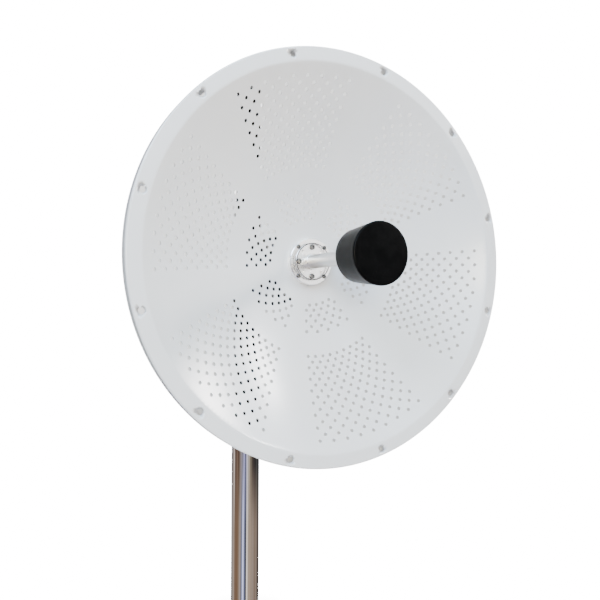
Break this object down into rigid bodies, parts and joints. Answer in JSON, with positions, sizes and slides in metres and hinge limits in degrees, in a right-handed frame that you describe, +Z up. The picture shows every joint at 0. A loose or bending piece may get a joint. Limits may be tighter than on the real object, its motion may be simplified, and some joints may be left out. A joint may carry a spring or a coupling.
{
  "type": "satellite dish",
  "caption": "Perforated parabolic dish antenna with dual-polarised feed under a black cap, on a tilting bracket clamped to a round steel mast.",
  "frame": {"origin": "centre of the mast foot, on the mast axis", "axes": "+Z up along the mast, the dish looks along -Y, +X to the right seen from the front"},
  "size_m": [0.65, 0.3836, 1.0035],
  "materials": {
    "mast": "polished stainless tube",
    "black_plastic": "moulded black plastic",
    "bracket_steel": "hot-dip galvanised steel, aged grey",
    "cast_alloy": "as-cast aluminium",
    "zinc": "bright zinc plate",
    "nylon": "glass-filled nylon",
    "white_powder": "white satin powder coat on aluminium",
    "machined_alloy": "machined aluminium, clear anodised",
    "stainless": "stainless",
    "tube_alloy": "drawn aluminium tube",
    "seal_rubber": "nitrile",
    "white_plastic": "natural acetal",
    "circuit_board": "solder-masked laminate",
    "copper_line": "bare copper semi-rigid line",
    "nickel": "nickel plate"
  },
  "bodies": {
    "mast": {"mast": "mast", "mast_plug": "black_plastic"},
    "mast_bracket": {"pole_bracket": "bracket_steel", "saddles": "cast_alloy", "u_bolts": "zinc", "u_bolt_washers": "zinc", "u_bolt_nuts": "zinc", "pivot_bolt": "zinc", "pivot_washer": "zinc", "pivot_nut": "zinc", "lock_bolts": "zinc", "lock_washers": "zinc", "lock_nuts": "zinc", "friction_washers": "nylon", "outer_washers": "zinc"},
    "dish": {"reflector": "white_powder", "tilt_bracket": "bracket_steel", "hub_ring": "machined_alloy", "feed_flange": "machined_alloy", "ring_screws": "stainless", "ring_nuts": "stainless", "flange_screws": "stainless", "feed_tube": "tube_alloy", "set_screw": "stainless", "feed_cap": "black_plastic", "cap_base": "black_plastic", "cap_seal": "seal_rubber", "splash_plate": "tube_alloy", "feed_post": "white_plastic", "dipole_board_h": "circuit_board", "dipole_board_v": "circuit_board", "coax_h": "copper_line", "coax_v": "copper_line", "feed_housing": "cast_alloy", "housing_screws": "stainless", "port_h": "nickel", "port_v": "nickel", "port_nuts": "nickel"}
  },
  "joints": [
    {"name": "azimuth", "type": "hinge", "parent": "mast", "child": "mast_bracket", "pos_m": [0, 0, 0.638], "axis": [0, 0, 1], "continuous": true},
    {"name": "elevation", "type": "hinge", "parent": "mast_bracket", "child": "dish", "pos_m": [0.052, -0.084, 0.638], "axis": [-1, 0, 0], "range_deg": [-20, 20]}
  ]
}
